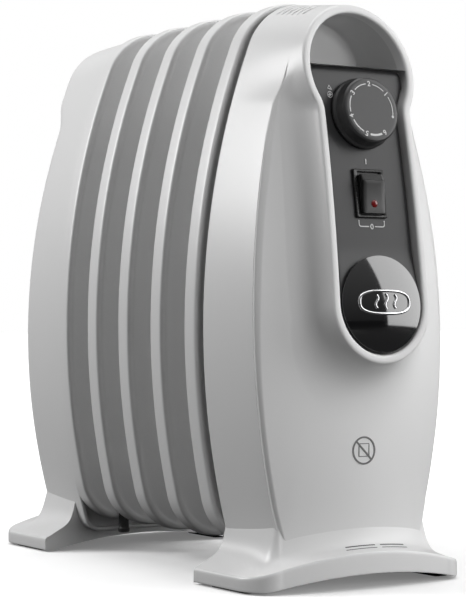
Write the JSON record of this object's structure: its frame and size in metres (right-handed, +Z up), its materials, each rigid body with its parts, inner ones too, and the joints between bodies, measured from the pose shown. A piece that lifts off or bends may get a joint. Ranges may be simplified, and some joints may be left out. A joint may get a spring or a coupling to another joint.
{
  "type": "oil filled radiator heater",
  "caption": "Small upright oil filled radiator with rounded fins between moulded covers, a thermostat dial and a lit rocker switch on a sloping panel, and a hand-grip pocket above.",
  "frame": {"origin": "on the floor, under the middle of the object's bounding box", "axes": "+Z up, -Y towards the front cover with the dial and the switch, +X to the right as seen from the front"},
  "size_m": [0.1622, 0.3658, 0.3684],
  "materials": {
    "cover_white": "satin white moulding, fine and even",
    "fin_white": "satin white powder coat on pressed steel",
    "panel_grey": "satin dark grey moulding",
    "knob_grey": "satin dark grey moulding with pale printed scale",
    "switch_grey": "satin near-black moulding",
    "rocker_grey": "satin near-black moulding with white printed marks",
    "pilot_red": "dark red clear moulding, gloss",
    "badge_black": "high gloss black",
    "emblem_chrome": "polished",
    "pad_rubber": "matt black",
    "gland_rubber": "matt black",
    "fill_tube_black": "black painted steel tube, crimped",
    "plain_steel": "zinc plated",
    "element_steel": "dull sheath",
    "contact_brass": "plain",
    "insulator": "matt",
    "clamp_plastic": "dark moulding",
    "wire_brown": "brown insulation",
    "wire_blue": "blue insulation",
    "wire_green": "green and yellow insulation"
  },
  "bodies": {
    "heater": {"front_cover": "cover_white", "rear_cover": "cover_white", "control_panel": "panel_grey", "badge_dome": "badge_black", "badge_emblem": "emblem_chrome", "fin_front_sheet_1": "fin_white", "fin_back_sheet_1": "fin_white", "fin_front_sheet_2": "fin_white", "fin_back_sheet_2": "fin_white", "fin_front_sheet_3": "fin_white", "fin_back_sheet_3": "fin_white", "fin_front_sheet_4": "fin_white", "fin_back_sheet_4": "fin_white", "fin_front_sheet_5": "fin_white", "fin_back_sheet_5": "fin_white", "hub_upper_1": "fin_white", "hub_lower_1": "fin_white", "hub_upper_2": "fin_white", "hub_lower_2": "fin_white", "hub_upper_3": "fin_white", "hub_lower_3": "fin_white", "hub_upper_4": "fin_white", "hub_lower_4": "fin_white", "fill_tube": "fill_tube_black", "element_plug": "plain_steel", "upper_hub_plug": "plain_steel", "heating_element": "element_steel", "element_terminal_live": "plain_steel", "element_terminal_neutral": "plain_steel", "front_bracket": "plain_steel", "rear_bracket": "plain_steel", "front_screw_left": "plain_steel", "front_screw_right": "plain_steel", "rear_screw_left": "plain_steel", "rear_screw_right": "plain_steel", "front_pad_left": "pad_rubber", "front_pad_right": "pad_rubber", "rear_pad_left": "pad_rubber", "rear_pad_right": "pad_rubber", "thermostat_body": "insulator", "thermostat_blade": "contact_brass", "switch_body": "switch_grey", "cable_gland": "gland_rubber", "cord_clamp": "clamp_plastic", "terminal_block": "insulator", "earth_screw": "contact_brass", "thermal_cutout": "insulator", "cutout_clip": "plain_steel", "wire_live": "wire_brown", "wire_switched": "wire_brown", "wire_cutout": "wire_brown", "wire_element": "wire_brown", "wire_neutral": "wire_blue", "wire_earth": "wire_green"},
    "dial": {"dial_knob": "knob_grey", "thermostat_spindle": "contact_brass"},
    "plunger": {"thermostat_plunger": "insulator"},
    "rocker": {"switch_rocker": "rocker_grey", "pilot_lens": "pilot_red"}
  },
  "joints": [
    {"name": "dial_turn", "type": "hinge", "parent": "heater", "child": "dial", "pos_m": [0, -0.15784, 0.2915], "axis": [0, 0.9806, -0.196], "range_deg": [-155, 155]},
    {"name": "plunger_slide", "type": "slide", "parent": "heater", "child": "plunger", "axis": [0, 0.9806, -0.196], "range_m": [-0.0007, 0.0007]},
    {"name": "rocker_tilt", "type": "hinge", "parent": "heater", "child": "rocker", "pos_m": [0, -0.16636, 0.24144], "axis": [-1, 0, 0], "range_deg": [0, 18]}
  ],
  "couplings": [
    {"joint": "plunger_slide", "follows": "dial_turn", "m_per_rad": 0.00023873}
  ]
}
